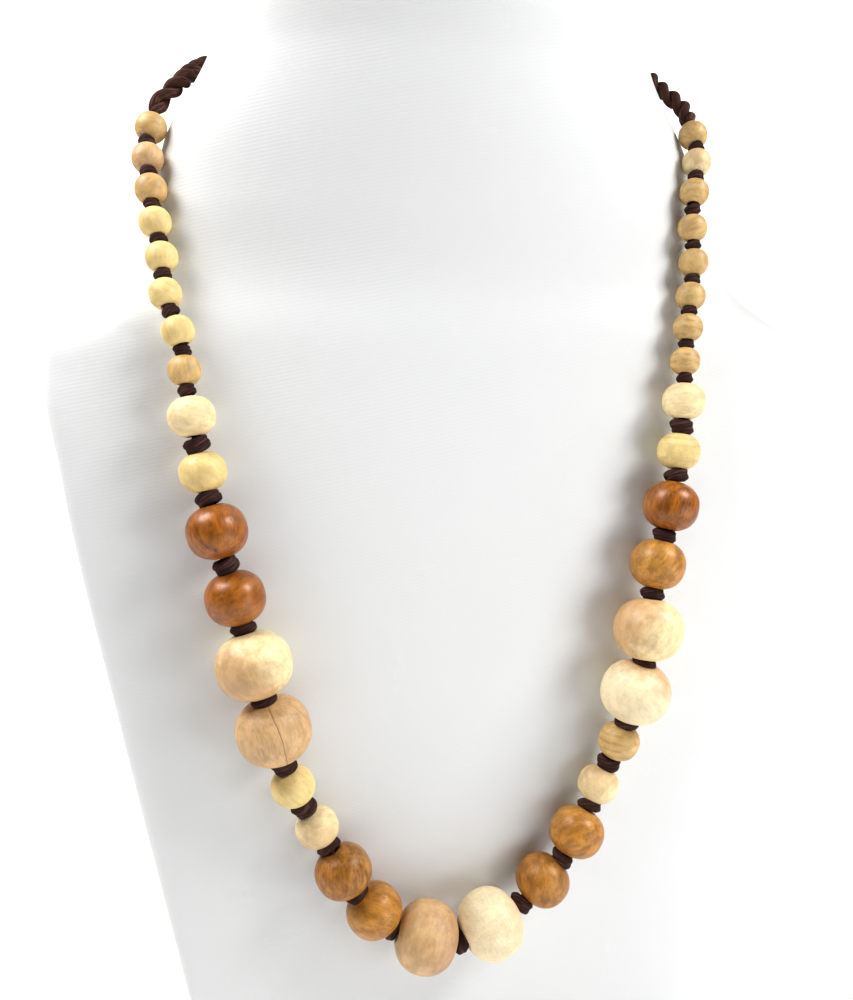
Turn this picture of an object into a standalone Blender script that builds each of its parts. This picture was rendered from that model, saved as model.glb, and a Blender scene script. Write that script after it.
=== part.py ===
"""A necklace of 38 knotted wooden beads on a twisted cord, laid on a plain neck bust.

Sizes are in metres. +Z is up, the bust's front faces -Y, and +X is to the right of someone who looks at it.
The origin is the middle of the bust's flat base.
"""

import math
from collections import namedtuple

import bmesh
import bpy
import numpy as np
from mathutils import Vector
from mathutils.bvhtree import BVHTree

# Neck bust
BUST_HEIGHT = 0.310
SHOULDER_WIDTH = 0.204
BUST_DEPTH = 0.060
BUST_SIDES = 56
BUST_RINGS = 26

# String and cord
STRING_WIDTH = 0.0018
CORD_WIDTH = 0.0054
STRING_TAIL = 0.0014
KNOT_WIDTH = 0.0054
SMALL_KNOT_WIDTH = 0.0042
KNOT_SHARE = 0.36
KNOT_IN_MOUTH = 0.35

# Clearances
SEAT_GAP = 0.0003
JOIN_GAP = 0.0003
HOLE_CLEARANCE = 0.0004

# How fast the string comes nearer to the bust beside a bead that holds it off, and how far the middle of the gap
# between the two beads at the bottom is from the bust's centre line
STRING_SLOPE = 0.14
MIDDLE_SHIFT = -0.0053

# How finely the string's way and the places of the beads on it are found
WAY_STEP = 0.001
HALVINGS = 30
SETTLING_PASSES = 60

# Beads, as they stand on the string: across it, along it, the mouth of the hole, and the knots beside them
Kind = namedtuple("Kind", "across along mouth knot sides")
KINDS = {
    "small": Kind(across=0.0078, along=0.0068, mouth=0.0034, knot=SMALL_KNOT_WIDTH, sides=12),
    "upper": Kind(across=0.0112, along=0.0093, mouth=0.0040, knot=KNOT_WIDTH, sides=14),
    "lower": Kind(across=0.0108, along=0.0094, mouth=0.0040, knot=KNOT_WIDTH, sides=14),
    "dark": Kind(across=0.0144, along=0.0126, mouth=0.0046, knot=KNOT_WIDTH, sides=14),
    "large": Kind(across=0.0182, along=0.0158, mouth=0.0056, knot=KNOT_WIDTH, sides=16),
    "front": Kind(across=0.0186, along=0.0156, mouth=0.0058, knot=KNOT_WIDTH, sides=16),
}
BEAD_ARC_POINTS = 7

Wood = namedtuple("Wood", "colour roughness")
WOODS = {
    "golden": Wood((0.72, 0.46, 0.20), 0.62),
    "yellow": Wood((0.80, 0.62, 0.32), 0.60),
    "cream": Wood((0.84, 0.72, 0.50), 0.58),
    "ivory": Wood((0.88, 0.79, 0.60), 0.58),
    "pink": Wood((0.70, 0.48, 0.33), 0.60),
    "caramel": Wood((0.36, 0.13, 0.035), 0.36),
    "honey": Wood((0.42, 0.20, 0.055), 0.36),
    "brown": Wood((0.34, 0.15, 0.05), 0.40),
}

# One row for each bead, from the left shoulder round to the right, with the string left bare after it
Bead = namedtuple("Bead", "kind wood gap")
BEADS = (
    Bead("small", "golden", 0.0026),
    Bead("small", "pink", 0.0025),
    Bead("small", "golden", 0.0020),
    Bead("small", "yellow", 0.0024),
    Bead("small", "yellow", 0.0028),
    Bead("small", "yellow", 0.0031),
    Bead("small", "yellow", 0.0026),
    Bead("small", "golden", 0.0031),
    Bead("upper", "cream", 0.0039),
    Bead("upper", "yellow", 0.0033),
    Bead("dark", "caramel", 0.0038),
    Bead("dark", "caramel", 0.0024),
    Bead("large", "cream", 0.0011),
    Bead("large", "pink", 0.0036),
    Bead("lower", "yellow", 0.0042),
    Bead("lower", "cream", 0.0023),
    Bead("dark", "brown", 0.0015),
    Bead("dark", "honey", 0.00145),
    Bead("front", "pink", 0.0015),
    Bead("front", "ivory", 0.00365),
    Bead("dark", "brown", 0.0030),
    Bead("dark", "honey", 0.0027),
    Bead("lower", "cream", 0.0039),
    Bead("lower", "golden", 0.0017),
    Bead("large", "ivory", 0.0010),
    Bead("large", "cream", 0.0030),
    Bead("dark", "honey", 0.0030),
    Bead("dark", "caramel", 0.0036),
    Bead("upper", "yellow", 0.0039),
    Bead("upper", "cream", 0.0028),
    Bead("small", "golden", 0.0023),
    Bead("small", "golden", 0.0022),
    Bead("small", "golden", 0.0028),
    Bead("small", "golden", 0.0025),
    Bead("small", "golden", 0.0031),
    Bead("small", "golden", 0.0026),
    Bead("small", "cream", 0.0023),
    Bead("small", "golden", 0.0000),
)
MIDDLE = 19

# The way of the string of beads over the bust, from the left shoulder round to the right, chosen by hand: the
# height over the base, and the angle round the bust from its front, in degrees
Way = namedtuple("Way", "height angle")
STRING_WAY = (
    Way(0.2720, -91.0),
    Way(0.2630, -84.5),
    Way(0.2550, -78.8),
    Way(0.2470, -72.9),
    Way(0.2390, -67.0),
    Way(0.2310, -60.8),
    Way(0.2225, -52.0),
    Way(0.2140, -41.9),
    Way(0.2050, -38.8),
    Way(0.1820, -36.6),
    Way(0.1536, -33.4),
    Way(0.1200, -29.5),
    Way(0.1060, -27.5),
    Way(0.0940, -23.9),
    Way(0.0812, -19.5),
    Way(0.0686, -13.9),
    Way(0.0618, -7.2),
    Way(0.0614, -2.0),
    Way(0.0636, 2.4),
    Way(0.0710, 8.1),
    Way(0.0830, 13.6),
    Way(0.0955, 17.9),
    Way(0.1070, 20.5),
    Way(0.1210, 22.3),
    Way(0.1536, 25.1),
    Way(0.1820, 28.8),
    Way(0.2050, 31.1),
    Way(0.2140, 34.0),
    Way(0.2225, 41.7),
    Way(0.2310, 49.1),
    Way(0.2390, 52.6),
    Way(0.2470, 55.9),
    Way(0.2550, 61.5),
    Way(0.2630, 67.5),
    Way(0.2720, 78.0),
)

# The way of the cord behind the neck, chosen by hand, from beside the first bead round the nape to beside the last
CORD_ROUTE = (
    (-0.0677, 0.0100, 0.2766),
    (-0.0645, 0.0164, 0.2808),
    (-0.0589, 0.0259, 0.2854),
    (-0.0500, 0.0360, 0.2883),
    (-0.0400, 0.0435, 0.2898),
    (-0.0292, 0.0488, 0.2905),
    (-0.0150, 0.0528, 0.2910),
    (0.0000, 0.0542, 0.2913),
    (0.0150, 0.0529, 0.2916),
    (0.0293, 0.0488, 0.2918),
    (0.0401, 0.0434, 0.2919),
    (0.0500, 0.0355, 0.2917),
    (0.0576, 0.0253, 0.2910),
    (0.0619, 0.0155, 0.2878),
    (0.0646, 0.0092, 0.2826),
)
CORD_LEAD = 0.0034
CORD_STEP = 0.0075

# The bust from its base to its top: heights are shares of its height, widths of its shoulders' width, and where
# its sides lie, how far its front bulges and how far its back does are shares of its depth
Section = namedtuple("Section", "height width side front back squareness")
SECTIONS = (
    Section(0.000, 0.644, -0.358, 0.117, 0.833, 2.7),
    Section(0.194, 0.754, -0.342, 0.125, 0.850, 2.6),
    Section(0.387, 0.865, -0.308, 0.150, 0.850, 2.6),
    Section(0.581, 0.972, -0.192, 0.200, 0.800, 2.5),
    Section(0.655, 1.000, -0.080, 0.270, 0.760, 2.4),
    Section(0.690, 0.976, -0.040, 0.290, 0.740, 2.3),
    Section(0.726, 0.841, 0.025, 0.330, 0.720, 2.2),
    Section(0.797, 0.744, 0.090, 0.400, 0.710, 2.1),
    Section(0.848, 0.704, 0.140, 0.460, 0.700, 2.0),
    Section(0.910, 0.600, 0.160, 0.480, 0.680, 2.0),
    Section(0.988, 0.511, 0.175, 0.480, 0.665, 2.0),
    Section(1.000, 0.482, 0.175, 0.450, 0.635, 2.0),
)


def through(rows, places, at):
    """The rows' values at each place of at, on smooth cubic pieces that pass through every row."""
    rows = np.asarray(rows, float)
    places = np.asarray(places, float)
    slopes = np.gradient(rows, places, axis=0)
    at = np.clip(np.atleast_1d(at), places[0], places[-1])
    left = np.clip(np.searchsorted(places, at, side="right") - 1, 0, len(places) - 2)
    span = (places[left + 1] - places[left])[:, None]
    t = (at - places[left])[:, None] / span
    return (
        (2 * t**3 - 3 * t**2 + 1) * rows[left]
        + (t**3 - 2 * t**2 + t) * span * slopes[left]
        + (3 * t**2 - 2 * t**3) * rows[left + 1]
        + (t**3 - t**2) * span * slopes[left + 1]
    )


def section_at(height):
    """Half width, side, front depth, back depth and squareness of the bust at a height, in metres."""
    shares = [row[1:] for row in SECTIONS]
    half, side, front, back, square = through(shares, [row.height for row in SECTIONS], height / BUST_HEIGHT)[0]
    return half * SHOULDER_WIDTH / 2, side * BUST_DEPTH, front * BUST_DEPTH, back * BUST_DEPTH, square


def bust_point(height, angle):
    """The point of the bust's skin at a height and an angle round it from the front, in degrees."""
    half, side, front, back, square = section_at(height)
    across = math.sin(math.radians(angle))
    forward = math.cos(math.radians(angle))
    depth = front if forward > 0 else back
    x = half * math.copysign(abs(across) ** (2 / square), across)
    y = side - depth * math.copysign(abs(forward) ** (2 / square), forward)
    return Vector((x, y, height))


def material(name, colour, roughness):
    made = bpy.data.materials.new(name)
    made.use_nodes = True
    shader = made.node_tree.nodes["Principled BSDF"]
    shader.inputs["Base Color"].default_value = (*colour, 1)
    shader.inputs["Roughness"].default_value = roughness
    return made


def add(name, data, skin):
    """A new object in the necklace's collection, with its material."""
    made = bpy.data.objects.new(name, data)
    parts.objects.link(made)
    data.materials.clear()
    data.materials.append(skin)
    return made


def neck_bust():
    """A loft through the bust's sections, closed by a flat base and a flat top."""
    shape = bmesh.new()
    knots = np.array([row.height for row in SECTIONS])
    places = np.interp(np.linspace(0, 1, BUST_RINGS), np.linspace(0, 1, len(knots)), knots)
    rings = []
    for place in places:
        angles = [360 * k / BUST_SIDES for k in range(BUST_SIDES)]
        rings.append([shape.verts.new(bust_point(place * BUST_HEIGHT, angle)) for angle in angles])
    for low, high in zip(rings, rings[1:]):
        for k in range(BUST_SIDES):
            after = (k + 1) % BUST_SIDES
            shape.faces.new((low[k], low[after], high[after], high[k]))
    shape.faces.new(rings[0][::-1])
    shape.faces.new(rings[-1])
    shape.normal_update()
    tree = BVHTree.FromBMesh(shape)
    mesh = bpy.data.meshes.new("neck_bust")
    shape.to_mesh(mesh)
    shape.free()
    mesh.shade_smooth()
    add("neck_bust", mesh, material("pale leatherette", (0.80, 0.82, 0.84), 0.55))
    return tree


def rest_on(bust, point, distance):
    """The point moved straight out from the bust, or in to it, until it is at the distance from its skin."""
    skin, outward, _, _ = bust.find_nearest(point)
    away = point - skin
    if away.dot(outward) < 0 or away.length < JOIN_GAP:
        away = outward
    return skin + away.normalized() * distance


def smooth_way(bust, rows, distance):
    """Points 1 mm apart or less on a smooth curve over the bust, at the distance from its skin."""
    guide = [rest_on(bust, bust_point(row.height, row.angle), distance) for row in rows]
    steps = np.cumsum([0] + [(b - a).length for a, b in zip(guide, guide[1:])])
    fine = np.linspace(0, steps[-1], int(steps[-1] / WAY_STEP) + 1)
    return [Vector(p) for p in through(guide, steps, fine)], fine


def string_heights():
    """How far each bead's middle is from the bust: it touches, or hangs on the string between larger ones."""
    radii = [KINDS[bead.kind].across / 2 + SEAT_GAP for bead in BEADS]
    along = np.cumsum([0] + [spacing(k) for k in range(len(BEADS) - 1)])
    return [max(r - STRING_SLOPE * abs(a - here) for r, a in zip(radii, along)) for here in along]


def spacing(k):
    """The distance from bead k's middle to the next one's."""
    return (KINDS[BEADS[k].kind].along + KINDS[BEADS[k + 1].kind].along) / 2 + BEADS[k].gap


def hang_beads(bust):
    """Every bead's middle, and where the cord goes on from the two last ones. Both sides are laid up from the
    bust's centre line, each bead at its spacing."""
    heights = string_heights()
    way, places = smooth_way(bust, STRING_WAY, heights[MIDDLE])
    way = np.array(way)
    places -= np.interp(0, way[:, 0], places)

    def on_way(place, height):
        point = Vector([np.interp(place, places, way[:, axis]) for axis in range(3)])
        return rest_on(bust, point, height)

    middles = {}
    ends = {}
    for first, step, sign in ((MIDDLE - 1, -1, -1), (MIDDLE, 1, 1)):
        place = MIDDLE_SHIFT + sign * spacing(MIDDLE - 1) / 2
        k = first
        middles[k] = on_way(place, heights[k])
        while 0 <= k + step < len(BEADS):
            wanted = spacing(min(k, k + step))
            near, far = place, place + sign * 2 * wanted
            for _ in range(HALVINGS):
                place = (near + far) / 2
                if (on_way(place, heights[k + step]) - middles[k]).length < wanted:
                    near = place
                else:
                    far = place
            k += step
            middles[k] = on_way(place, heights[k])
        ends[sign] = on_way(place + sign * spacing(0), heights[k])
    return [middles[k] for k in range(len(BEADS))], (ends[-1], ends[1])


def axes_of(middles, ends):
    """The way of the hole through each bead: from where the string leaves the bead before it to where it goes
    into the one after it, which the passes over the string settle."""
    halves = [KINDS[bead.kind].along / 2 for bead in BEADS]
    axes = [Vector() for _ in middles]
    for _ in range(SETTLING_PASSES):
        leaving = [ends[0]] + [m + axis * half for m, axis, half in zip(middles, axes, halves)]
        entering = [m - axis * half for m, axis, half in zip(middles, axes, halves)] + [ends[1]]
        axes = [(after - before).normalized() for before, after in zip(leaving, entering[1:])]
    return axes


def bead_profile(kind):
    """Half of the bead cut through its middle: the outside from top to bottom, then back up the hole."""
    outer = kind.across / 2
    mouth = kind.mouth / 2
    hole = STRING_WIDTH / 2 + HOLE_CLEARANCE
    end = math.acos(mouth / outer)
    rise = kind.along / 2 / math.sin(end)
    turns = [end - 2 * end * k / (BEAD_ARC_POINTS - 1) for k in range(BEAD_ARC_POINTS)]
    points = [(outer * math.cos(turn), rise * math.sin(turn)) for turn in turns]
    slope = mouth - hole
    points += [(hole, slope - kind.along / 2), (hole, kind.along / 2 - slope)]
    return points


def bead_mesh(name, kind):
    """The bead's profile, a closed loop of edges on the XZ plane that the lathe turns round Z."""
    profile = bmesh.new()
    corners = [profile.verts.new((x, 0, z)) for x, z in bead_profile(kind)]
    for k, corner in enumerate(corners):
        profile.edges.new((corner, corners[(k + 1) % len(corners)]))
    mesh = bpy.data.meshes.new(name)
    profile.to_mesh(mesh)
    profile.free()
    return mesh


def wooden_beads(middles, axes):
    """Each bead is turned from its profile by a Screw modifier, and threaded on the string's line."""
    finishes = {name: material(name + " wood", wood.colour, wood.roughness) for name, wood in WOODS.items()}
    for k, (bead, middle, axis) in enumerate(zip(BEADS, middles, axes)):
        kind = KINDS[bead.kind]
        name = f"bead_{k + 1:02d}"
        made = add(name, bead_mesh(name, kind), finishes[bead.wood])
        made.rotation_mode = "QUATERNION"
        made.rotation_quaternion = axis.to_track_quat("Z", "Y")
        made.location = middle
        turn = made.modifiers.new("turned on a lathe", "SCREW")
        turn.steps = kind.sides
        turn.render_steps = kind.sides
        turn.use_merge_vertices = True
        turn.merge_threshold = 0.00001
        turn.use_smooth_shade = True


def tube(name, points, width, skin):
    """A round cord along the points, whose widths are given one by one."""
    curve = bpy.data.curves.new(name, "CURVE")
    curve.dimensions = "3D"
    curve.bevel_depth = 1 / 2
    curve.bevel_resolution = 2
    curve.use_fill_caps = True
    spline = curve.splines.new("POLY")
    spline.points.add(len(points) - 1)
    for knot, point, wide in zip(spline.points, points, width):
        knot.co = (*point, 1)
        knot.radius = wide
    return add(name, curve, skin)


def knotted_string(middles, axes, skin):
    """The cord that runs through the beads, thin in their holes and tied in a fat knot in each bare stretch.
    It gives where it ends beyond the first bead and the last."""
    points = []
    widths = []
    for k, (bead, middle, axis) in enumerate(zip(BEADS, middles, axes)):
        half = axis * KINDS[bead.kind].along / 2
        if k:
            start = points[-1]
            gap = middle - half - start
            mouth = min(KINDS[bead.kind].mouth, KINDS[BEADS[k - 1].kind].mouth)
            knot = min(KINDS[bead.kind].knot, KINDS[BEADS[k - 1].kind].knot, KNOT_IN_MOUTH * mouth + gap.length)
            for share in ((1 - KNOT_SHARE) / 2, (1 + KNOT_SHARE) / 2):
                points.append(start + gap * share)
                widths.append(knot)
        points += [middle - half, middle + half]
        widths += [STRING_WIDTH, STRING_WIDTH]
    points.insert(0, points[0] - axes[0] * STRING_TAIL)
    points.append(points[-1] + axes[-1] * STRING_TAIL)
    tube("knotted_string", points, [STRING_WIDTH, *widths, STRING_WIDTH], skin)
    return points[0], points[-1]


def neck_cord(ends, ways, skin):
    """The twisted cord, here a plain tube, from the string's left end round the back of the neck to its right.
    Its own ends follow the string's ways out of the first bead and the last."""
    starts = [end + way * JOIN_GAP for end, way in zip(ends, ways)]
    leads = [end + way * CORD_LEAD for end, way in zip(ends, ways)]
    route = [leads[0], *[Vector(point) for point in CORD_ROUTE], leads[1]]
    steps = np.cumsum([0] + [(b - a).length for a, b in zip(route, route[1:])])
    places = np.linspace(0, steps[-1], round(steps[-1] / CORD_STEP) + 1)
    points = [starts[0], *[Vector(point) for point in through(route, steps, places)], starts[1]]
    tube("neck_cord", points, [CORD_WIDTH] * len(points), skin)


for old in list(bpy.data.objects):
    bpy.data.objects.remove(old)
parts = bpy.data.collections.new("beaded_necklace")
bpy.context.scene.collection.children.link(parts)

bust = neck_bust()
cord_skin = material("brown waxed cord", (0.060, 0.026, 0.018), 0.55)
bead_middles, string_goes_on = hang_beads(bust)
bead_axes = axes_of(bead_middles, string_goes_on)
wooden_beads(bead_middles, bead_axes)
string_ends = knotted_string(bead_middles, bead_axes, cord_skin)
neck_cord(string_ends, (-bead_axes[0], bead_axes[-1]), cord_skin)
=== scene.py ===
"""A necklace of 38 knotted wooden beads on a twisted cord, over a plain ribbed neck bust."""

from collections import namedtuple
from math import cos, pi, radians, sin

import bpy
import numpy as np
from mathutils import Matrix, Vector


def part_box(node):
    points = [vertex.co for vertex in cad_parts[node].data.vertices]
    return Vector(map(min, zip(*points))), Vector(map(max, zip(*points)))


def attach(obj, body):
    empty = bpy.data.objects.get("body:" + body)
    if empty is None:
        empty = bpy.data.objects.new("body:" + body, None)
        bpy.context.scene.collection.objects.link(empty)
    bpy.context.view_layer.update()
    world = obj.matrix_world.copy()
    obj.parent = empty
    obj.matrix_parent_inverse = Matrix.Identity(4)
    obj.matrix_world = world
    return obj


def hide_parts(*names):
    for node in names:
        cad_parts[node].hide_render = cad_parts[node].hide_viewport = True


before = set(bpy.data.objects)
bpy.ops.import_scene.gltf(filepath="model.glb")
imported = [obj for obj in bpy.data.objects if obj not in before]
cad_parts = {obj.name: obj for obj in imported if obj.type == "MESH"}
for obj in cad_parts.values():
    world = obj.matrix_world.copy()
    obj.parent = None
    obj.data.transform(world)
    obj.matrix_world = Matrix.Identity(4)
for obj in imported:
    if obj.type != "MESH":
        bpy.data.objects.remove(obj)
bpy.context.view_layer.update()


# Camera
# It stands a little to the left of the bust and below its top, and looks down on the beads from close by,
# which makes the ones at the bottom look larger than their share.

EYE = Vector((-0.0719, -0.2654, 0.2160))
LOOK = Vector((0.2402, 0.9557, -0.1701))
ROLL = radians(0.35)
FOCAL_SHARE = 1.003

lens = bpy.data.cameras.new("camera")
lens.sensor_fit = "VERTICAL"
lens.sensor_height = 24
lens.lens = lens.sensor_height * FOCAL_SHARE
lens.clip_start = 0.01
camera = bpy.data.objects.new("camera", lens)
camera.location = EYE
camera.rotation_euler = LOOK.to_track_quat("-Z", "Y").to_euler()
camera.rotation_euler.rotate_axis("Z", ROLL)
bpy.context.scene.collection.objects.link(camera)
bpy.context.scene.camera = camera


# Neck cord
# Two plies of many fine brown cotton threads, waxed and twisted hard round each other. It is tied to the
# string's ends at the first bead and the last, and lies free round the back of the neck.

CORD_WIDTH = 0.0047
CORD_ROUTE = (
    (-0.0677, 0.0100, 0.2766),
    (-0.0645, 0.0164, 0.2808),
    (-0.0589, 0.0259, 0.2854),
    (-0.0500, 0.0360, 0.2883),
    (-0.0400, 0.0435, 0.2898),
    (-0.0292, 0.0488, 0.2905),
    (-0.0150, 0.0528, 0.2910),
    (0.0000, 0.0542, 0.2913),
    (0.0150, 0.0529, 0.2916),
    (0.0293, 0.0488, 0.2918),
    (0.0401, 0.0434, 0.2919),
    (0.0500, 0.0355, 0.2917),
    (0.0576, 0.0253, 0.2910),
    (0.0619, 0.0155, 0.2878),
    (0.0646, 0.0092, 0.2826),
)
CORD_START = 0.0005
CORD_LEAD = 0.0040
CORD_RINGS = 560
PLY_WIDTH = 0.0025
PLY_LAY = 0.0094
PLY_SIDES = 44
THREADS = 15
THREAD_LAY = -0.0110
THREAD_DEPTH = 0.025
TIED_SHARE = 0.35
TIED_LENGTH = 0.0006
CORD_BROWN = (0.048, 0.019, 0.013)
# The light colour is the threads' highlight colour: a painted sheen as well as wear
CORD_WEAR_AND_SHEEN = (0.230, 0.105, 0.072)

# Each bead that the cord is tied to, and the bead beside it
TIED_BEADS = (("bead_01", "bead_02"), ("bead_38", "bead_37"))


def through(rows, places, at):
    """The rows' values at each place of at: cubic pieces that pass through every row, with the slope there
    taken from the rows beside it."""
    rows = np.asarray(rows, float)
    places = np.asarray(places, float)
    slopes = np.gradient(rows, places, axis=0)
    at = np.clip(np.atleast_1d(at), places[0], places[-1])
    left = np.clip(np.searchsorted(places, at, side="right") - 1, 0, len(places) - 2)
    span = (places[left + 1] - places[left])[:, None]
    t = (at - places[left])[:, None] / span
    return (
        (2 * t**3 - 3 * t**2 + 1) * rows[left]
        + (t**3 - 2 * t**2 + t) * span * slopes[left]
        + (3 * t**2 - 2 * t**3) * rows[left + 1]
        + (t**3 - t**2) * span * slopes[left + 1]
    )


def unit(vectors):
    """Each vector at a length of one."""
    return vectors / np.linalg.norm(vectors, axis=-1, keepdims=True)


def way_along(points):
    """How far along a line each of its points lies: the sum of the steps up to it. It takes several lines at
    once too."""
    steps = np.linalg.norm(np.diff(points, axis=-2), axis=-1)
    return np.concatenate([np.zeros((*steps.shape[:-1], 1)), np.cumsum(steps, axis=-1)], axis=-1)


def hole_of(node, towards):
    """The middle of a bead, the way of its hole and half its length: the corners of a turned bead spread most
    along its hole."""
    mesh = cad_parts[node].data
    corners = np.empty(len(mesh.vertices) * 3)
    mesh.vertices.foreach_get("co", corners)
    corners = np.unique(corners.reshape(-1, 3).round(6), axis=0)
    middle = (corners.min(0) + corners.max(0)) / 2
    way = np.linalg.svd(corners - middle, full_matrices=False)[2][0]
    way = way * np.sign(way @ (towards - middle))
    return middle, way, np.abs((corners - middle) @ way).max()


def round_tubes(paths, outwards, radii):
    """Rings of points round each path: at angle a, path + radius * (cos a * side + sin a * other), where side
    is the given outward direction made square to the path, and other is square to both."""
    tangents = unit(np.gradient(paths, axis=-2))
    sides = unit(outwards - tangents * (outwards * tangents).sum(-1, keepdims=True))
    others = np.cross(tangents, sides)
    turns = np.linspace(0, 2 * pi, radii.shape[-1], endpoint=False)[:, None]
    ring = np.cos(turns) * sides[..., None, :] + np.sin(turns) * others[..., None, :]
    return paths[..., None, :] + radii[..., None] * ring


def woven(name, sheets, rows_meet=False):
    """A closed mesh of sheets of points. A sheet's rows follow its length, and its columns go round it, the
    last beside the first. The rows' ends meet each other, or each gets a middle point and a fan."""
    points, corners, sizes = [], [], []
    count = 0
    for sheet in sheets:
        rows, columns = sheet.shape[:2]
        index = count + np.arange(rows * columns).reshape(rows, columns)
        near = index if rows_meet else index[:-1]
        far = np.roll(index, -1, axis=0) if rows_meet else index[1:]
        quads = np.stack([near, np.roll(near, -1, axis=1), np.roll(far, -1, axis=1), far], axis=-1)
        points.append(sheet.reshape(-1, 3))
        corners.append(quads.ravel())
        sizes.append(np.full(quads.size // 4, 4))
        count += rows * columns
        if not rows_meet:
            for ring, line in ((index[0], sheet[0]), (index[-1][::-1], sheet[-1])):
                fan = np.stack([np.full(columns, count), np.roll(ring, -1), ring], axis=-1)
                points.append(line.mean(0)[None])
                corners.append(fan.ravel())
                sizes.append(np.full(columns, 3))
                count += 1
    points, corners, sizes = (np.concatenate(part) for part in (points, corners, sizes))
    mesh = bpy.data.meshes.new(name)
    mesh.vertices.add(len(points))
    mesh.vertices.foreach_set("co", points.ravel())
    mesh.loops.add(len(corners))
    mesh.loops.foreach_set("vertex_index", corners.astype(np.int32))
    mesh.polygons.add(len(sizes))
    mesh.polygons.foreach_set("loop_start", (np.cumsum(sizes) - sizes).astype(np.int32))
    mesh.update(calc_edges=True)
    mesh.validate()
    mesh.shade_smooth()
    piece = bpy.data.objects.new(name, mesh)
    bpy.context.scene.collection.objects.link(piece)
    return piece


def keep_places(piece, name, sheets, rows_meet=False):
    """Stores a place for each point of the piece, which its material reads: the sheets' own coordinates."""
    parts = []
    for sheet in sheets:
        parts.append(sheet.reshape(-1, 3))
        if not rows_meet:
            parts += [sheet[0].mean(0)[None], sheet[-1].mean(0)[None]]
    stored = piece.data.attributes.new(name, "FLOAT_VECTOR", "POINT")
    stored.data.foreach_set("vector", np.concatenate(parts).ravel())


def untwisted(turns, radii, along):
    """Places in a strand as if its threads ran straight: radius * cos turn, radius * sin turn, and how far
    along it the point lies."""
    return np.stack(np.broadcast_arrays(radii * np.cos(turns), radii * np.sin(turns), along), axis=-1)


def add_node(tree, kind, feeds=None, **settings):
    """A shader node with its settings. A feed is a value, or the socket that is linked to the input."""
    made = tree.nodes.new("ShaderNode" + kind)
    for key, value in settings.items():
        setattr(made, key, value)
    for key, feed in (feeds or {}).items():
        if isinstance(feed, bpy.types.NodeSocket):
            tree.links.new(feed, made.inputs[key])
        else:
            made.inputs[key].default_value = feed
    return made


def sums(tree, operation, first, second=0.0, third=0.0):
    """The result of a Math node."""
    return add_node(tree, "Math", {0: first, 1: second, 2: third}, operation=operation).outputs[0]


def scaled(tree, place, scale):
    """The place, with each of its coordinates times its own scale."""
    return add_node(tree, "Mapping", {"Vector": place, "Scale": scale}).outputs["Vector"]


def noise(tree, place, scale, detail, **settings):
    """Cloudy noise between 0 and 1, with so many lumps in each unit of the place."""
    feeds = {"Vector": place, "Scale": scale, "Detail": detail, **settings}
    return add_node(tree, "TexNoise", feeds).outputs["Fac"]


def ramp(tree, value, low, high, start=0.0, end=1.0):
    """The value carried smoothly from start, at low, to end, at high."""
    feeds = {"Value": value, "From Min": low, "From Max": high, "To Min": start, "To Max": end}
    return add_node(tree, "MapRange", feeds, interpolation_type="SMOOTHSTEP").outputs["Result"]


def blended(tree, share, first, second, way="MIX"):
    """The first colour, with a share of the second over it."""
    mix = add_node(tree, "Mix", {0: share}, data_type="RGBA", blend_type=way)
    for socket, colour in ((mix.inputs[6], first), (mix.inputs[7], second)):
        if isinstance(colour, bpy.types.NodeSocket):
            tree.links.new(colour, socket)
        else:
            socket.default_value = (*colour, 1)
    return mix.outputs[2]


def finish_of(name, roughness, **settings):
    """A new material, its node tree and its shader, with constant values on the shader's own sockets."""
    made = bpy.data.materials.new(name)
    made.use_nodes = True
    shader = made.node_tree.nodes["Principled BSDF"]
    shader.inputs["Roughness"].default_value = roughness
    for key, value in settings.items():
        shader.inputs[key.replace("_", " ")].default_value = value
    return made, made.node_tree, shader


def dented(tree, shader, height, strength, distance):
    """Tilts the shader's normal by the slope of the height."""
    bump = add_node(tree, "Bump", {"Height": height, "Strength": strength, "Distance": distance})
    tree.links.new(bump.outputs["Normal"], shader.inputs["Normal"])


def waxed_threads(name, brown, light):
    """The look of the cord and of the string: fine threads along the strand, pale in patches, partly wear and
    partly a painted sheen in the colour of the threads' highlights.
    """
    made, tree, shader = finish_of(name, 0.75, Specular_IOR_Level=0.10)
    place = add_node(tree, "Attribute", attribute_name="strand").outputs["Vector"]
    fine = noise(tree, scaled(tree, place, (1, 1, 0.12)), 3000, 3)
    # The pale patches are partly wear and partly a painted sheen, scattered by noise
    wear_and_sheen = noise(tree, place, 420, 3)
    share = sums(tree, "MULTIPLY", ramp(tree, fine, 0.42, 0.72), ramp(tree, wear_and_sheen, 0.30, 0.75))
    tree.links.new(blended(tree, share, brown, light), shader.inputs["Base Color"])
    dented(tree, shader, fine, 1.0, 0.00020)
    return made


cord_ends = []
cord_leads = []
for bead, neighbour in TIED_BEADS:
    middle, way, half = hole_of(bead, np.array(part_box(neighbour)).mean(0))
    cord_ends.append(middle - way * (half + CORD_START))
    cord_leads.append(middle - way * (half + CORD_START + CORD_LEAD))
cord_points = np.array([cord_ends[0], cord_leads[0], *CORD_ROUTE, cord_leads[1], cord_ends[1]])
cord_places = way_along(cord_points)
along = np.linspace(0, cord_places[-1], CORD_RINGS)
cord_line = through(cord_points, cord_places, along)

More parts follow.
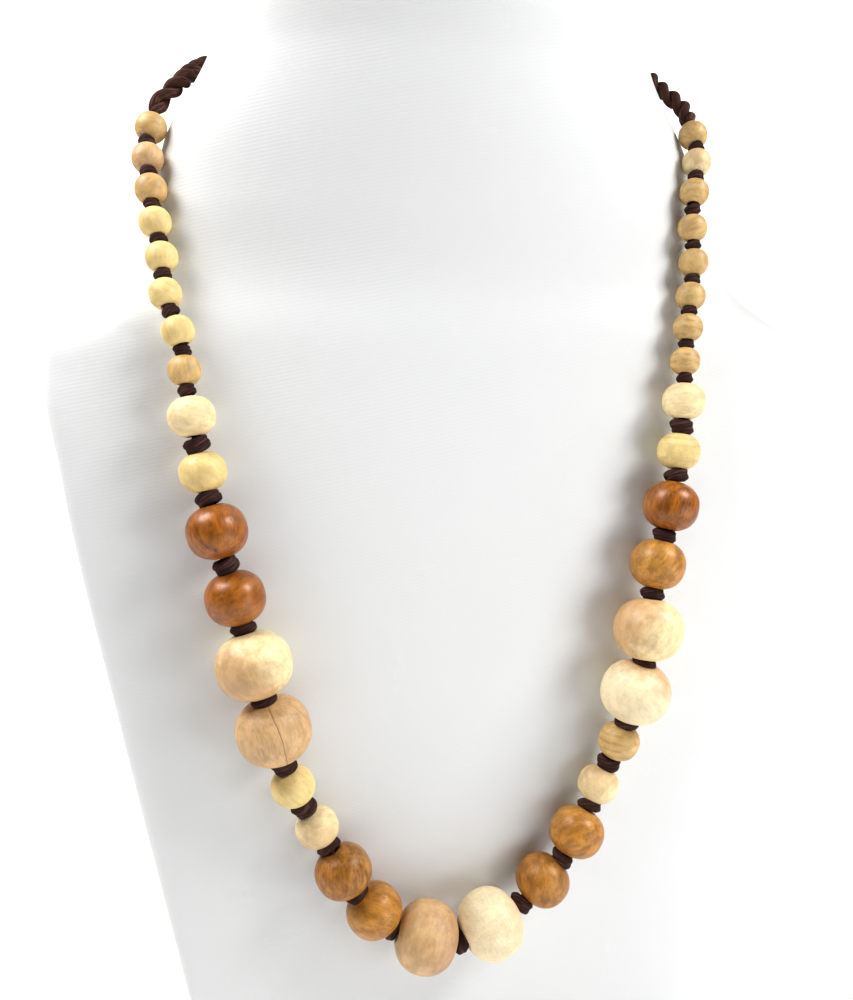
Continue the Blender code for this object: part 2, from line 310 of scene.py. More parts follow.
# Each ply winds round the cord's line, its threads wind the other way, and it is drawn thin where it is tied
cord_ways = unit(np.gradient(cord_line, axis=0))
upwards = unit(np.array((0, 0, 1)) - cord_ways * cord_ways[:, 2:])
sidewards = np.cross(cord_ways, upwards)
around = np.linspace(0, 2 * pi, PLY_SIDES, endpoint=False)
thread_turn = around - (2 * pi * along / THREAD_LAY)[:, None]
tied = 1 - TIED_SHARE * np.exp(-np.minimum(along, along[-1] - along) / TIED_LENGTH)[:, None]
ply_radii = PLY_WIDTH / 2 * tied * (1 + THREAD_DEPTH * np.cos(THREADS * thread_turn))
plies = []
ply_places = []
for start in (0, pi):
    turn = (start + 2 * pi * along / PLY_LAY)[:, None]
    outward = np.cos(turn) * upwards + np.sin(turn) * sidewards
    ply_line = cord_line + outward * (CORD_WIDTH - PLY_WIDTH) / 2
    plies.append(round_tubes(ply_line, outward, ply_radii))
    ply_places.append(untwisted(thread_turn, PLY_WIDTH / 2, along[:, None] + start))
twisted_cord = woven("twisted_neck_cord", plies)
keep_places(twisted_cord, "strand", ply_places)
twisted_cord.data.materials.append(waxed_threads("waxed cord threads", CORD_BROWN, CORD_WEAR_AND_SHEEN))
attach(twisted_cord, "root")
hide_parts("neck_cord")


# Bust
# A light core of one piece, wrapped in pale leatherette with fine pressed ribs. The cloth is glued on askew,
# so its ribs climb to the right, and its edges meet at the back.

BUST_HEIGHT = 0.310
SHOULDER_WIDTH = 0.204
BUST_DEPTH = 0.060
BUST_COLUMNS = 220
BUST_ROWS = 200
RIM_ROUNDING = 0.0012
RIM_ROWS = 5
RIB_PITCH = 0.0009
RIB_TILT = radians(10.5)
BUST_PALE = (0.740, 0.752, 0.752)
# The grey of the grooves between the ribs is painted shade, not a colour of the cloth
BUST_GROOVE_SHADE = (0.560, 0.585, 0.600)
BUST_MARK = (0.840, 0.845, 0.835)
BUST_SPECK = (0.210, 0.200, 0.190)
GROOVE_SHADE_SHARE = 0.09
CREASE_SHARE = 0.15
CLOUD_SHARE = 0.12
SPECK_SHARE = 0.60

# The bust from its base to its top: heights are shares of its height, widths of its shoulders' width, and
# where its sides lie, how far its front bulges and how far its back does are shares of its depth
Section = namedtuple("Section", "height width side front back squareness")
SECTIONS = (
    Section(0.000, 0.644, -0.358, 0.117, 0.833, 2.7),
    Section(0.194, 0.754, -0.342, 0.125, 0.850, 2.6),
    Section(0.387, 0.865, -0.308, 0.150, 0.850, 2.6),
    Section(0.581, 0.972, -0.192, 0.200, 0.800, 2.5),
    Section(0.655, 1.000, -0.080, 0.270, 0.760, 2.4),
    Section(0.690, 0.976, -0.040, 0.290, 0.740, 2.3),
    Section(0.726, 0.841, 0.025, 0.330, 0.720, 2.2),
    Section(0.797, 0.744, 0.090, 0.400, 0.710, 2.1),
    Section(0.848, 0.704, 0.140, 0.460, 0.700, 2.0),
    Section(0.910, 0.600, 0.160, 0.480, 0.680, 2.0),
    Section(0.988, 0.511, 0.175, 0.480, 0.665, 2.0),
    Section(1.000, 0.482, 0.175, 0.450, 0.635, 2.0),
)


def bust_rings(heights, angles):
    """Points of the bust's skin. Round each ring, x is the half width times sin to the power 2 / squareness,
    and y leaves the side by the front's or the back's depth times cos to the same power."""
    half, side, front, back, square = through(
        [row[1:] for row in SECTIONS], [row.height for row in SECTIONS], heights / BUST_HEIGHT
    ).T[..., None]
    across, forward = np.sin(angles), np.cos(angles)
    depth = np.where(forward > 0, front, back) * BUST_DEPTH
    x = half * SHOULDER_WIDTH / 2 * np.sign(across) * np.abs(across) ** (2 / square)
    y = side * BUST_DEPTH - depth * np.sign(forward) * np.abs(forward) ** (2 / square)
    return np.stack([x, y, np.broadcast_to(heights[:, None], x.shape)], axis=-1)


def rounded_rims(sheet):
    """The sheet with a quarter circle beyond its first ring and its last: at each angle the ring is drawn in
    by rounding * (1 - cos angle), and moved out along Z by rounding * sin angle."""
    turns = np.linspace(0, pi / 2, RIM_ROWS + 1)[1:, None, None]
    rims = []
    for ring, up in ((sheet[0], -1), (sheet[-1], 1)):
        inward = unit(ring.mean(0) - ring)
        quarter = inward * (1 - np.cos(turns)) + np.sin(turns) * np.array((0, 0, up))
        rims.append(ring + RIM_ROUNDING * quarter)
    return np.concatenate([rims[0][::-1], sheet, rims[1]])


# The ring's first column is at the back, so that the cloth's two edges meet there
angles = np.linspace(-pi, pi, BUST_COLUMNS, endpoint=False)
heights = np.linspace(RIM_ROUNDING, BUST_HEIGHT - RIM_ROUNDING, BUST_ROWS)
bust_skin = rounded_rims(bust_rings(heights, angles))
ribbed_bust = woven("ribbed_bust", [bust_skin])

# The cloth's own flat measures, in metres: round each ring from the front's middle line, and up that line. A
# face across the back's line takes the ring's far end, and the flat ends take x and y
FRONT_COLUMN = BUST_COLUMNS // 2
round_way = way_along(np.concatenate([bust_skin, bust_skin[:, :1]], axis=1))
round_way -= round_way[:, FRONT_COLUMN, None]
up_way = np.broadcast_to(way_along(bust_skin[:, FRONT_COLUMN])[:, None], round_way.shape)
mesh = ribbed_bust.data
loops = np.empty(len(mesh.loops), dtype=np.int32)
mesh.loops.foreach_get("vertex_index", loops)
quads = (len(bust_skin) - 1) * BUST_COLUMNS
row, column = np.divmod(loops[: quads * 4], BUST_COLUMNS)
wraps = (column.reshape(-1, 4) == 0) & (column.reshape(-1, 4).max(1) == BUST_COLUMNS - 1)[:, None]
column = np.where(wraps.ravel(), BUST_COLUMNS, column)
flat = np.zeros((len(loops), 2))
flat[: quads * 4] = np.stack([round_way[row, column], up_way[row, column]], axis=-1)
points = np.empty(len(mesh.vertices) * 3)
mesh.vertices.foreach_get("co", points)
flat[quads * 4 :] = points.reshape(-1, 3)[loops[quads * 4 :], :2]
cloth = mesh.uv_layers.new(name="cloth")
cloth.uv.foreach_set("vector", flat.ravel())


def ribbed_leatherette():
    """Ribs across the cloth, pale on top with painted shade grey in the grooves between, with faint creases,
    a soft grain and specks.
    """
    made, tree, shader = finish_of("ribbed leatherette", 0.50)
    laid = add_node(tree, "UVMap", uv_map="cloth").outputs["UV"]
    place = add_node(tree, "TexCoord").outputs["Object"]
    turned = add_node(tree, "Mapping", {"Vector": laid, "Rotation": (0, 0, -RIB_TILT)}).outputs["Vector"]
    up = add_node(tree, "SeparateXYZ", {"Vector": turned}).outputs["Y"]
    count = sums(tree, "MULTIPLY_ADD", noise(tree, place, 60, 2), 0.9, sums(tree, "DIVIDE", up, RIB_PITCH))
    wave = sums(tree, "COSINE", sums(tree, "MULTIPLY", count, 2 * pi))
    rib = sums(tree, "MULTIPLY_ADD", wave, 0.5, 0.5)
    even = ramp(tree, noise(tree, place, 35, 3), 0.3, 0.7, 0.45, 1.0)
    groove = sums(tree, "MULTIPLY", sums(tree, "POWER", sums(tree, "SUBTRACT", 1.0, rib), 1.6), even)
    cloud = ramp(tree, noise(tree, place, 14, 2), 0.35, 0.75)
    # A crease follows one height through a slow noise, and a speck lies in the middle of one cell in ten
    off_line = sums(tree, "SUBTRACT", noise(tree, place, 42, 4, Distortion=1.4), 0.64)
    crease = ramp(tree, sums(tree, "ABSOLUTE", off_line), 0.0, 0.012, 1.0, 0.0)
    cells = add_node(tree, "TexVoronoi", {"Vector": place, "Scale": 36})
    lot = add_node(tree, "SeparateXYZ", {"Vector": cells.outputs["Color"]}).outputs["X"]
    dot = ramp(tree, cells.outputs["Distance"], 0.018, 0.030, 1.0, 0.0)
    speck = sums(tree, "MULTIPLY", dot, ramp(tree, lot, 0.90, 0.905))
    # Painted shade: the grooves between the ribs are darkened towards the groove grey
    colour = blended(tree, sums(tree, "MULTIPLY", groove, GROOVE_SHADE_SHARE), BUST_PALE, BUST_GROOVE_SHADE)
    colour = blended(tree, sums(tree, "MULTIPLY", crease, CREASE_SHARE), colour, BUST_MARK)
    colour = blended(tree, sums(tree, "MULTIPLY", cloud, CLOUD_SHARE), colour, BUST_MARK)
    colour = blended(tree, sums(tree, "MULTIPLY", speck, SPECK_SHARE), colour, BUST_SPECK)
    tree.links.new(colour, shader.inputs["Base Color"])
    rough = sums(tree, "MULTIPLY_ADD", groove, 0.15, 0.46)
    tree.links.new(rough, shader.inputs["Roughness"])
    grain = noise(tree, place, 1300, 3)
    relief = sums(tree, "MULTIPLY_ADD", grain, 0.9, sums(tree, "MULTIPLY", rib, even))
    dented(tree, shader, relief, 0.12, 0.00010)
    return made


ribbed_bust.data.materials.append(ribbed_leatherette())
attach(ribbed_bust, "root")
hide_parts("neck_bust")


# Beads
# Each is turned from wood with flattened ends and a drilled, countersunk hole, sanded, and left pale or
# stained and varnished. They are threaded on the string from the left shoulder round to the right.

# The kinds of bead: how wide each is across its hole and along it, how wide the hole's countersunk mouth is,
# and how many sides its mesh has
Kind = namedtuple("Kind", "across along mouth sides")
KINDS = {
    "small": Kind(across=0.0078, along=0.0068, mouth=0.0034, sides=56),
    "upper": Kind(across=0.0112, along=0.0093, mouth=0.0040, sides=64),
    "lower": Kind(across=0.0108, along=0.0094, mouth=0.0040, sides=64),
    "dark": Kind(across=0.0144, along=0.0126, mouth=0.0046, sides=76),
    "large": Kind(across=0.0182, along=0.0158, mouth=0.0056, sides=88),
    "front": Kind(across=0.0186, along=0.0156, mouth=0.0058, sides=88),
}
HOLE_WIDTH = 0.0026
MOUTH_ROUNDING = 0.0003
BEAD_ROWS = 34
BEAD_SQUARENESS = 2.25
WOBBLE = 0.006

# Back and a little up, as no bead's hole points
BACKWARD = (0, 1, 0.3)

# The woods: their pale and deep grain, the colour of their patches, and how strongly they are mottled
Wood = namedtuple("Wood", "pale deep patch mottle")
WOODS = {
    "golden": Wood((0.680, 0.450, 0.165), (0.400, 0.200, 0.060), (0.520, 0.280, 0.100), 0.35),
    "yellow": Wood((0.840, 0.645, 0.255), (0.660, 0.400, 0.140), (0.720, 0.460, 0.180), 0.25),
    "cream": Wood((0.960, 0.795, 0.440), (0.720, 0.460, 0.210), (0.560, 0.310, 0.130), 0.28),
    "ivory": Wood((0.920, 0.780, 0.505), (0.740, 0.540, 0.290), (0.640, 0.400, 0.200), 0.18),
    "pink": Wood((0.680, 0.425, 0.190), (0.400, 0.205, 0.095), (0.450, 0.250, 0.130), 0.35),
    "caramel": Wood((0.380, 0.115, 0.009), (0.110, 0.026, 0.003), (0.440, 0.190, 0.036), 0.65),
    "honey": Wood((0.540, 0.235, 0.036), (0.190, 0.064, 0.010), (0.580, 0.330, 0.090), 0.65),
    "brown": Wood((0.450, 0.180, 0.026), (0.140, 0.045, 0.008), (0.500, 0.280, 0.090), 0.65),
}
CRACK_BROWN = (0.22, 0.09, 0.04)
MOTTLE_DARK = (0.42, 0.36, 0.28)
MOTTLE_LIGHT = (1.15, 1.17, 1.18)

# How rough and how glossy the bare wood is, and the three stained ones, whose varnish gives a warm gloss
Surface = namedtuple("Surface", "roughness gloss tint")
SANDED = Surface(0.50, 0.55, (1.0, 1.0, 1.0, 1.0))
WARM = (1.0, 0.74, 0.58, 1.0)
VARNISHES = {
    "caramel": Surface(0.36, 0.65, WARM),
    "honey": Surface(0.38, 0.55, WARM),
    "brown": Surface(0.42, 0.50, WARM),
}

# The figures of the grain: how strong its rings, fibres, pores, darker heart and split are, and its rings'
# width in millimetres
Figure = namedtuple("Figure", "rings fibres pores heart split width")
FIGURES = {
    "even": Figure(0.15, 0.35, 0.30, 0.20, 0.0, 1.4),
    "blushed": Figure(0.10, 0.45, 0.90, 0.60, 0.0, 1.5),
    "soft": Figure(0.10, 0.30, 0.45, 0.80, 0.0, 1.8),
    "fine": Figure(0.15, 0.50, 0.55, 0.30, 0.0, 1.1),
    "flecked": Figure(0.10, 0.40, 1.00, 0.35, 0.0, 1.6),
    "ringed": Figure(0.50, 0.30, 0.40, 0.15, 0.0, 1.9),
    "heart": Figure(0.12, 0.45, 0.60, 0.90, 0.0, 2.0),
    "streaked": Figure(0.40, 0.70, 0.80, 0.60, 0.0, 1.9),
    "split": Figure(0.12, 0.50, 0.70, 0.80, 1.0, 2.2),
}
TRUNK_RADIUS = 26.0

# One row for each bead, from the left shoulder round to the right: its kind, its wood and the figure of its
# grain, how far the grain leans away from the hole, and how far round the hole the wood's outer side lies, in
# degrees
Bead = namedtuple("Bead", "kind wood figure lean turn")
BEADS = (
    Bead("small", "golden", "flecked", 80, 40),
    Bead("small", "pink", "fine", 20, 120),
    Bead("small", "golden", "fine", 60, 200),
    Bead("small", "yellow", "fine", 30, 300),
    Bead("small", "yellow", "even", 10, 80),
    Bead("small", "yellow", "even", 40, 20),
    Bead("small", "yellow", "even", 15, 250),
    Bead("small", "golden", "fine", 5, 60),
    Bead("upper", "cream", "flecked", 70, 10),
    Bead("upper", "yellow", "fine", 35, 330),
    Bead("dark", "caramel", "streaked", 10, 70),
    Bead("dark", "caramel", "fine", 65, 140),
    Bead("large", "cream", "heart", 35, -45),
    Bead("large", "pink", "split", 12, 78),
    Bead("lower", "yellow", "fine", 20, 20),
    Bead("lower", "cream", "blushed", 45, -80),
    Bead("dark", "brown", "streaked", 25, 150),
    Bead("dark", "honey", "flecked", 30, 20),
    Bead("front", "pink", "soft", 82, -30),
    Bead("front", "ivory", "fine", 85, 60),
    Bead("dark", "brown", "flecked", 50, 300),
    Bead("dark", "honey", "flecked", 35, 120),
    Bead("lower", "cream", "blushed", 60, 210),
    Bead("lower", "golden", "ringed", 75, 160),
    Bead("large", "ivory", "heart", 50, 20),
    Bead("large", "cream", "heart", 25, 175),
    Bead("dark", "honey", "flecked", 40, 200),
    Bead("dark", "caramel", "streaked", 5, 100),
    Bead("upper", "yellow", "ringed", 88, 60),
    Bead("upper", "cream", "fine", 85, 140),
    Bead("small", "golden", "ringed", 85, 20),
    Bead("small", "golden", "ringed", 88, 100),
    Bead("small", "golden", "even", 60, 250),
    Bead("small", "golden", "flecked", 40, 0),
    Bead("small", "golden", "even", 70, 170),
    Bead("small", "golden", "ringed", 88, 40),
    Bead("small", "cream", "blushed", 30, 220),
    Bead("small", "golden", "fine", 50, 310),
)


def turned_profile(kind):
    """Half of the bead cut through its middle, as radius and height. The outside goes from mouth to mouth,
    from the bottom to the top, on a curve whose radius follows cos to the power 2 / squareness, and whose
    height follows sin to the same power. The rest goes back down through the countersunk hole."""
    outer = kind.across / 2
    mouth = kind.mouth / 2
    power = 2 / BEAD_SQUARENESS
    end = np.arccos((mouth / outer) ** (1 / power))
    turns = np.linspace(-end, end, BEAD_ROWS)
    height = np.sign(turns) * np.abs(np.sin(turns) / sin(end)) ** power * kind.along / 2
    arc = np.stack([outer * np.cos(turns) ** power, height], axis=-1)
    hole = HOLE_WIDTH / 2
    slope = mouth - hole
    top = kind.along / 2
    inside = [
        (mouth - MOUTH_ROUNDING, top - MOUTH_ROUNDING * 0.3),
        (hole + MOUTH_ROUNDING, top - slope + MOUTH_ROUNDING),
        (hole, top - slope - MOUTH_ROUNDING),
    ]
    arc[0] = (mouth + MOUTH_ROUNDING / 2, -top + MOUTH_ROUNDING * 0.1)
    arc[-1] = (mouth + MOUTH_ROUNDING / 2, top - MOUTH_ROUNDING * 0.1)
    return np.array([*arc, *inside, *[(radius, -height) for radius, height in inside[::-1]]])


def crossways(ways):
    """Two directions square to each way and to each other. The second one points forward."""
    sides = unit(np.cross(ways, BACKWARD))
    return sides, np.cross(ways, sides)


def turned_bead(name, kind, middle, way, chance):
    """A lathe's sheet of points: each point of the profile goes round the hole's line, and is drawn in or out
    a little by two slow waves, as hand sanding leaves it. They are full at the bead's widest, and end at half
    its radius."""
    profile = turned_profile(kind)
    around = np.linspace(0, 2 * pi, kind.sides, endpoint=False)
    waves = sum(
        chance.uniform(0, WOBBLE) / order * np.cos(order * around + chance.uniform(0, 2 * pi))
        for order in (2, 3)
    )
    fullness = np.clip(profile[:, :1] / kind.across * 4 - 1, 0, 1)
    radius = profile[:, :1] * (1 + waves * fullness)
    side, other = crossways(way)
    ring = np.cos(around)[:, None] * side + np.sin(around)[:, None] * other
    sheet = middle + radius[..., None] * ring + profile[:, 1, None, None] * way
    return woven(name, [sheet], rows_meet=True), sheet, side, other


def wood_grain():
    """The grain of every bead: rings round the trunk's middle, fibres and short dark pores along it, a darker
    heart inside its middle radius, a split on its outer side, and a soft mottle over all of it. It reads each
    bead's own place in the trunk, in millimetres."""
    tree = bpy.data.node_groups.new("wood grain", "ShaderNodeTree")
    for label in ("Pale", "Deep", "Patch"):
        tree.interface.new_socket(label, in_out="INPUT", socket_type="NodeSocketColor")
    for label in ("Rings", "Fibres", "Pores", "Heart", "Split", "Ring width", "Mottle"):
        tree.interface.new_socket(label, in_out="INPUT", socket_type="NodeSocketFloat")
    tree.interface.new_socket("Colour", in_out="OUTPUT", socket_type="NodeSocketColor")
    tree.interface.new_socket("Relief", in_out="OUTPUT", socket_type="NodeSocketFloat")
    given = tree.nodes.new("NodeGroupInput").outputs

    place = add_node(tree, "Attribute", attribute_name="trunk").outputs["Vector"]
    bend = add_node(tree, "TexNoise", {"Vector": place, "Scale": 0.17, "Detail": 3}).outputs["Color"]
    centred = add_node(tree, "VectorMath", {0: bend, 1: (0.5, 0.5, 0.5)}, operation="SUBTRACT").outputs[0]
    feeds = {0: centred, 1: (1.7, 1.7, 1.7), 2: place}
    bent = add_node(tree, "VectorMath", feeds, operation="MULTIPLY_ADD").outputs[0]
    flat = add_node(tree, "VectorMath", {0: bent, 1: (1, 1, 0)}, operation="MULTIPLY").outputs[0]
    radius = add_node(tree, "VectorMath", {0: flat}, operation="LENGTH").outputs["Value"]

    ring_count = sums(tree, "DIVIDE", radius, given["Ring width"])
    wave = sums(tree, "SINE", sums(tree, "MULTIPLY", ring_count, 2 * pi))
    fading = noise(tree, bent, 0.28, 2)
    rings = sums(tree, "MULTIPLY", ramp(tree, wave, -0.2, 1.0), ramp(tree, fading, 0.32, 0.66))
    fibre = noise(tree, scaled(tree, bent, (1.9, 1.9, 0.26)), 1, 4, Roughness=0.65)
    short = scaled(tree, bent, (1.9, 1.9, 0.5))
    cells = add_node(tree, "TexVoronoi", {"Vector": short, "Scale": 1})
    lot = add_node(tree, "SeparateXYZ", {"Vector": cells.outputs["Color"]}).outputs["X"]
    pit = ramp(tree, cells.outputs["Distance"], 0.10, 0.32, 1.0, 0.0)
    pore = sums(tree, "MULTIPLY", pit, ramp(tree, lot, 0.50, 0.85))
    cloud = noise(tree, place, 0.42, 5, Roughness=0.62)
    edge = sums(tree, "MULTIPLY_ADD", sums(tree, "SUBTRACT", cloud, 0.5), 13.0, radius)
    heart = ramp(tree, edge, TRUNK_RADIUS - 6.0, TRUNK_RADIUS + 3.0, 1.0, 0.0)
    mottle = noise(tree, scaled(tree, bent, (0.42, 0.42, 0.22)), 1, 5, Roughness=0.55)
    feeds = {0: centred, 1: (0.9, 0.9, 0.9), 2: place}
    wandering = add_node(tree, "VectorMath", feeds, operation="MULTIPLY_ADD").outputs[0]
    aside = sums(tree, "ABSOLUTE", add_node(tree, "SeparateXYZ", {"Vector": wandering}).outputs["Y"])
    outside = ramp(tree, radius, TRUNK_RADIUS, TRUNK_RADIUS + 2)
    split = sums(tree, "MULTIPLY", ramp(tree, aside, 0.06, 0.19, 1.0, 0.0), outside)

    streak = sums(tree, "MULTIPLY", ramp(tree, fibre, 0.40, 0.74), given["Fibres"])
    depth = add_node(tree, "Clamp", {"Value": sums(tree, "MULTIPLY_ADD", rings, given["Rings"], streak)})
    colour = blended(tree, sums(tree, "MULTIPLY", heart, given["Heart"]), given["Pale"], given["Patch"])
    colour = blended(tree, depth.outputs[0], colour, given["Deep"])
    dark = sums(tree, "MULTIPLY", sums(tree, "MULTIPLY", pore, given["Pores"]), 0.70)
    colour = blended(tree, dark, colour, given["Deep"])
    broken = sums(tree, "MULTIPLY", split, ramp(tree, mottle, 0.25, 0.50))
    crack = sums(tree, "MULTIPLY", broken, given["Split"])
    colour = blended(tree, sums(tree, "MULTIPLY", crack, 0.75), colour, CRACK_BROWN)
    shade = blended(tree, ramp(tree, mottle, 0.34, 0.66), MOTTLE_DARK, MOTTLE_LIGHT)
    colour = blended(tree, given["Mottle"], colour, blended(tree, 1.0, colour, shade, "MULTIPLY"))
    hollow = sums(tree, "MULTIPLY_ADD", pore, given["Pores"], crack)
    relief = sums(tree, "SUBTRACT", sums(tree, "MULTIPLY", fibre, 0.5), hollow)
    made = tree.nodes.new("NodeGroupOutput")
    tree.links.new(colour, made.inputs["Colour"])
    tree.links.new(relief, made.inputs["Relief"])
    return tree


def bead_wood(wood_name, figure_name):
    """One wood with one figure of grain, sanded matt, or under a thin warm varnish."""
    wood, figure = WOODS[wood_name], FIGURES[figure_name]
    surface = VARNISHES.get(wood_name, SANDED)
    made, tree, shader = finish_of(
        f"{wood_name} wood, {figure_name}",
        surface.roughness,
        Specular_IOR_Level=surface.gloss,
        Specular_Tint=surface.tint,
    )
    grain = tree.nodes.new("ShaderNodeGroup")
    grain.node_tree = grain_group
    for key, colour in (("Pale", wood.pale), ("Deep", wood.deep), ("Patch", wood.patch)):
        grain.inputs[key].default_value = (*colour, 1)
    for key, value in zip(("Rings", "Fibres", "Pores", "Heart", "Split", "Ring width"), figure):
        grain.inputs[key].default_value = value
    grain.inputs["Mottle"].default_value = wood.mottle
    tree.links.new(grain.outputs["Colour"], shader.inputs["Base Color"])
    dented(tree, shader, grain.outputs["Relief"], 0.6, 0.00008)
    return made


grain_group = wood_grain()
finishes = {}
names = [f"bead_{k + 1:02d}" for k in range(len(BEADS))]
box_middles = [np.array(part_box(name)).mean(0) for name in names]
ahead = [*box_middles[1:], 2 * box_middles[-1] - box_middles[-2]]
holes = [hole_of(name, place) for name, place in zip(names, ahead)]
chance = np.random.default_rng(38)
for name, bead, (middle, way, _) in zip(names, BEADS, holes):
    piece, sheet, side, other = turned_bead("turned_" + name, KINDS[bead.kind], middle, way, chance)
    # The trunk's own axes: its length leans away from the hole, and the bead is cut some way from its middle,
    # at a place of its own along it
    sideways = cos(radians(bead.turn)) * side + sin(radians(bead.turn)) * other
    lean = radians(bead.lean)
    length = cos(lean) * way + sin(lean) * sideways
    outward = cos(lean) * sideways - sin(lean) * way
    axes = np.stack([outward, np.cross(length, outward), length], axis=-1)
    trunk = ((sheet - middle) @ axes) * 1000 + (TRUNK_RADIUS, 0, chance.uniform(0, 400))
    keep_places(piece, "trunk", [trunk], rows_meet=True)
    look = (bead.wood, bead.figure)
    if look not in finishes:
        finishes[look] = bead_wood(*look)
    piece.data.materials.append(finishes[look])
    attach(piece, "root")
    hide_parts(name)


# String and knots
# One waxed strand of the cord's threads runs through every bead. Between two beads it is wrapped round itself
# in a tight overhand knot, drawn half into their countersunk holes, that keeps them apart.

STRING_WIDTH = 0.0018
STRING_TAIL = 0.0014
STRING_SIDES = 16
STRING_TWIST = 900
STRING_FRONT = (0.0, -1.0, 0.3)
KNOT_RINGS = 64
KNOT_SIDES = 22
KNOT_TURNS = 2.0
KNOT_TILT = (0.02, 0.26)
KNOT_WIDTH = 0.0066
SMALL_KNOT_WIDTH = 0.0045
STRAND_SHARE = 0.185
STRAND_INSET = 0.45
STRAND_SWELL = 0.3
STRAND_THREADS = 5
STRAND_DEPTH = 0.05
STRAND_TWIST = 1.1
# The string is the same thread as the cord, but its colours are darker copies of the cord's: painted shade
# where the knots sit between the beads. Its light colour is a painted sheen as well as wear
STRING_SHADED_BROWN = (0.028, 0.0115, 0.0095)
STRING_SHADED_WEAR_AND_SHEEN = (0.130, 0.060, 0.045)

# How far apart the knots lie in the threads' pattern, and where the string does, so that no two look alike
KNOT_PATTERN = 0.05
STRING_PATTERN = 3.0


def knot_lines(starts, gaps, widths, tilts):
    """The strand's line in every knot at once, the way out from its middle, and its radius. It turns about
    the string while it goes from one bead to the next, passes the front a quarter and three quarters of the
    way along, and swings out to the knot's width as sin to the power STRAND_SWELL. Each turn leans over, up
    on its right for a positive tilt. The strand thins to four fifths at its ends."""
    share = np.linspace(0, 1, KNOT_RINGS)
    length = np.linalg.norm(gaps, axis=-1, keepdims=True)
    ways = gaps / length
    sides, others = crossways(ways)
    turn = np.broadcast_to(2 * pi * KNOT_TURNS * (share - 0.25) + pi / 2, (len(gaps), KNOT_RINGS))
    strand = widths[:, None] * STRAND_SHARE
    swing = np.sin(pi * share) ** STRAND_SWELL * (widths[:, None] / 2 - strand)
    inner = np.maximum(length - 2 * strand * STRAND_INSET, length / 2)
    lift = (length - inner) / 2 + inner * share - tilts[:, None] * swing * np.cos(turn)
    outward = np.cos(turn)[..., None] * sides[:, None] + np.sin(turn)[..., None] * others[:, None]
    lines = starts[:, None] + lift[..., None] * ways[:, None] + swing[..., None] * outward
    return lines, outward, strand * (0.8 + 0.2 * np.sin(pi * share) ** 0.5)


middles = np.array([hole[0] for hole in holes])
ways = np.array([hole[1] for hole in holes])
halves = np.array([hole[2] for hole in holes])[:, None]
entries = middles - ways * halves
exits = middles + ways * halves
starts = exits[:-1]
gaps = entries[1:] - exits[:-1]
small = np.array([bead.kind == "small" for bead in BEADS])
between_small = small[:-1] | small[1:]
widths = np.where(between_small, SMALL_KNOT_WIDTH, KNOT_WIDTH)
tilts = chance.uniform(*KNOT_TILT, len(gaps)) * chance.choice([-1, 1, 1], len(gaps))
lines, outward, strand = knot_lines(starts, gaps, widths, tilts)
around = np.linspace(0, 2 * pi, KNOT_SIDES, endpoint=False)
thread_turn = around + 2 * pi * STRAND_TWIST * np.linspace(0, 1, KNOT_RINGS)[:, None]
radii = strand[..., None] * (1 + STRAND_DEPTH * np.cos(STRAND_THREADS * thread_turn))
knots = round_tubes(lines, outward, radii)
knot_along = way_along(lines) + np.arange(len(lines))[:, None] * KNOT_PATTERN
knot_places = untwisted(thread_turn, radii, knot_along[..., None])

threaded = np.stack([entries, exits], axis=1).reshape(-1, 3)
first_tail = threaded[0] - ways[0] * STRING_TAIL
last_tail = threaded[-1] + ways[-1] * STRING_TAIL
string_line = np.array([first_tail, *threaded, last_tail])
string_radii = np.full((len(string_line), STRING_SIDES), STRING_WIDTH / 2)
string_out = np.broadcast_to(np.array(STRING_FRONT), string_line.shape)
string_tube = round_tubes(string_line, string_out, string_radii)
string_along = way_along(string_line)[:, None]
string_turn = np.linspace(0, 2 * pi, STRING_SIDES, endpoint=False) + string_along * STRING_TWIST
string_places = untwisted(string_turn, STRING_WIDTH / 2, string_along + STRING_PATTERN)
string_and_knots = woven("string_and_knots", [*knots, string_tube])
keep_places(string_and_knots, "strand", [*knot_places, string_places])
string_and_knots.data.materials.append(waxed_threads("shaded waxed string threads", STRING_SHADED_BROWN, STRING_SHADED_WEAR_AND_SHEEN))
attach(string_and_knots, "root")
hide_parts("knotted_string")


# Floor and light
# A plain pale floor that curves up to a wall behind the bust. Two soft lamps hang over its shoulders, a weak
# one stands low in front, and two wide ones light the curve and the wall to white.

FLOOR_HALF = 3.0
CURVE_START = 1.2
CURVE_RADIUS = 0.8
CURVE_POINTS = 12
WALL_TOP = 4.0
FLOOR_PALE = (0.93, 0.93, 0.93, 1)
ROOM_PALE = (0.95, 0.97, 1.0, 1)
ROOM_STRENGTH = 0.02

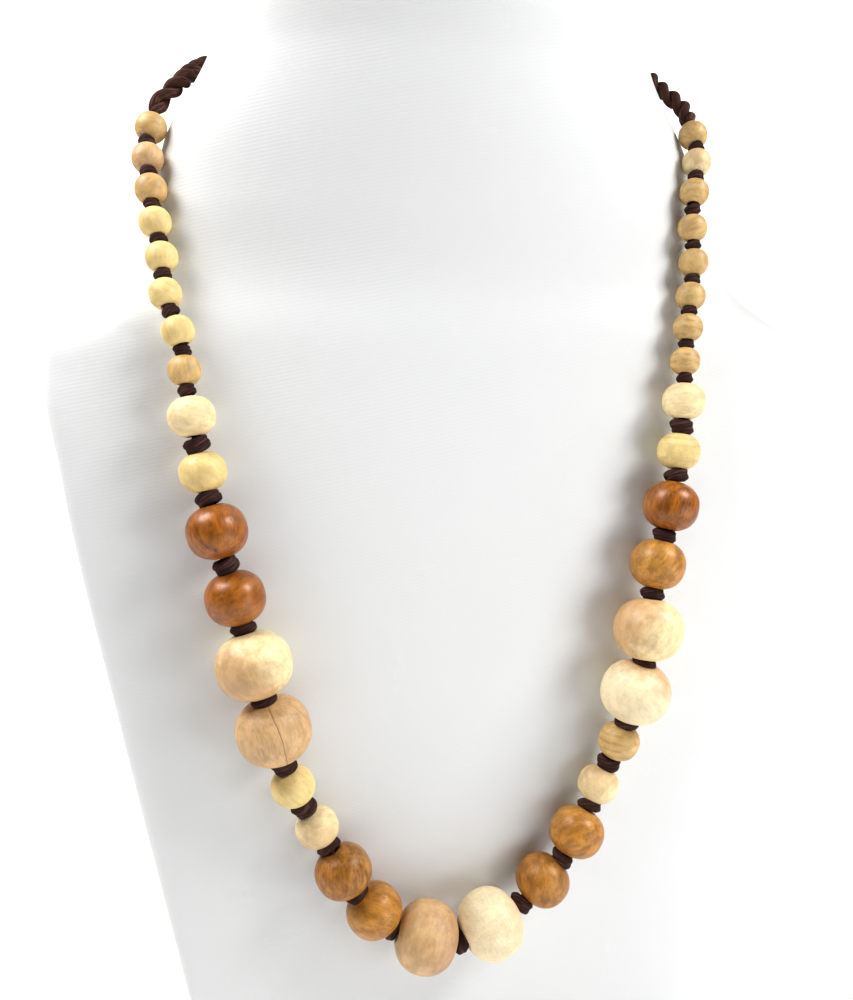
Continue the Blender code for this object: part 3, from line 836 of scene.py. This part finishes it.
# The floor's profile as y and z: flat, then a quarter circle, then straight up
floor_mesh = bpy.data.meshes.new("floor")
bend = np.linspace(0, pi / 2, CURVE_POINTS)
curve = np.stack([CURVE_START + CURVE_RADIUS * np.sin(bend), CURVE_RADIUS * (1 - np.cos(bend))], axis=-1)
profile = [(-FLOOR_HALF, 0.0), *curve, (CURVE_START + CURVE_RADIUS, WALL_TOP)]
corners = [(x, y, z) for y, z in profile for x in (-FLOOR_HALF, FLOOR_HALF)]
strips = [(2 * k, 2 * k + 1, 2 * k + 3, 2 * k + 2) for k in range(len(profile) - 1)]
floor_mesh.from_pydata(corners, [], strips)
floor_mesh.shade_smooth()
floor = bpy.data.objects.new("floor", floor_mesh)
bpy.context.scene.collection.objects.link(floor)
pale, tree, shader = finish_of("pale floor", 0.9)
shader.inputs["Base Color"].default_value = FLOOR_PALE
floor.data.materials.append(pale)

# Each lamp's place, the point that it faces, the side of its square and its power
Lamp = namedtuple("Lamp", "name place aim size watts colour")
LAMPS = (
    Lamp("left overhead", (-0.50, 0.00, 0.80), (0, 0, 0.20), 0.40, 9.2, (1.0, 0.99, 0.98)),
    Lamp("right overhead", (0.55, -0.35, 0.75), (0, 0, 0.20), 0.30, 7.0, (1.0, 0.99, 0.98)),
    Lamp("right low", (0.35, -0.45, 0.06), (0, -0.03, 0.10), 0.30, 1.2, (0.97, 0.985, 1.0)),
    Lamp("backdrop", (0.5, 0.8, 1.4), (0.5, 2.0, 0.6), 1.00, 36, (1.0, 1.0, 1.0)),
    Lamp("backdrop, high", (0.6, 0.5, 1.5), (0.6, 2.6, 1.2), 1.00, 18, (1.0, 1.0, 1.0)),
)
for lamp in LAMPS:
    light = bpy.data.lights.new(lamp.name, "AREA")
    light.shape = "SQUARE"
    light.size = lamp.size
    light.energy = lamp.watts
    light.color = lamp.colour
    held = bpy.data.objects.new(lamp.name, light)
    held.location = lamp.place
    held.rotation_euler = (Vector(lamp.aim) - Vector(lamp.place)).to_track_quat("-Z", "Y").to_euler()
    bpy.context.scene.collection.objects.link(held)

world = bpy.data.worlds.new("pale room")
bpy.context.scene.world = world
world.use_nodes = True
room = world.node_tree.nodes["Background"]
room.inputs["Color"].default_value = ROOM_PALE
room.inputs["Strength"].default_value = ROOM_STRENGTH
bpy.context.scene.view_settings.view_transform = "Standard"
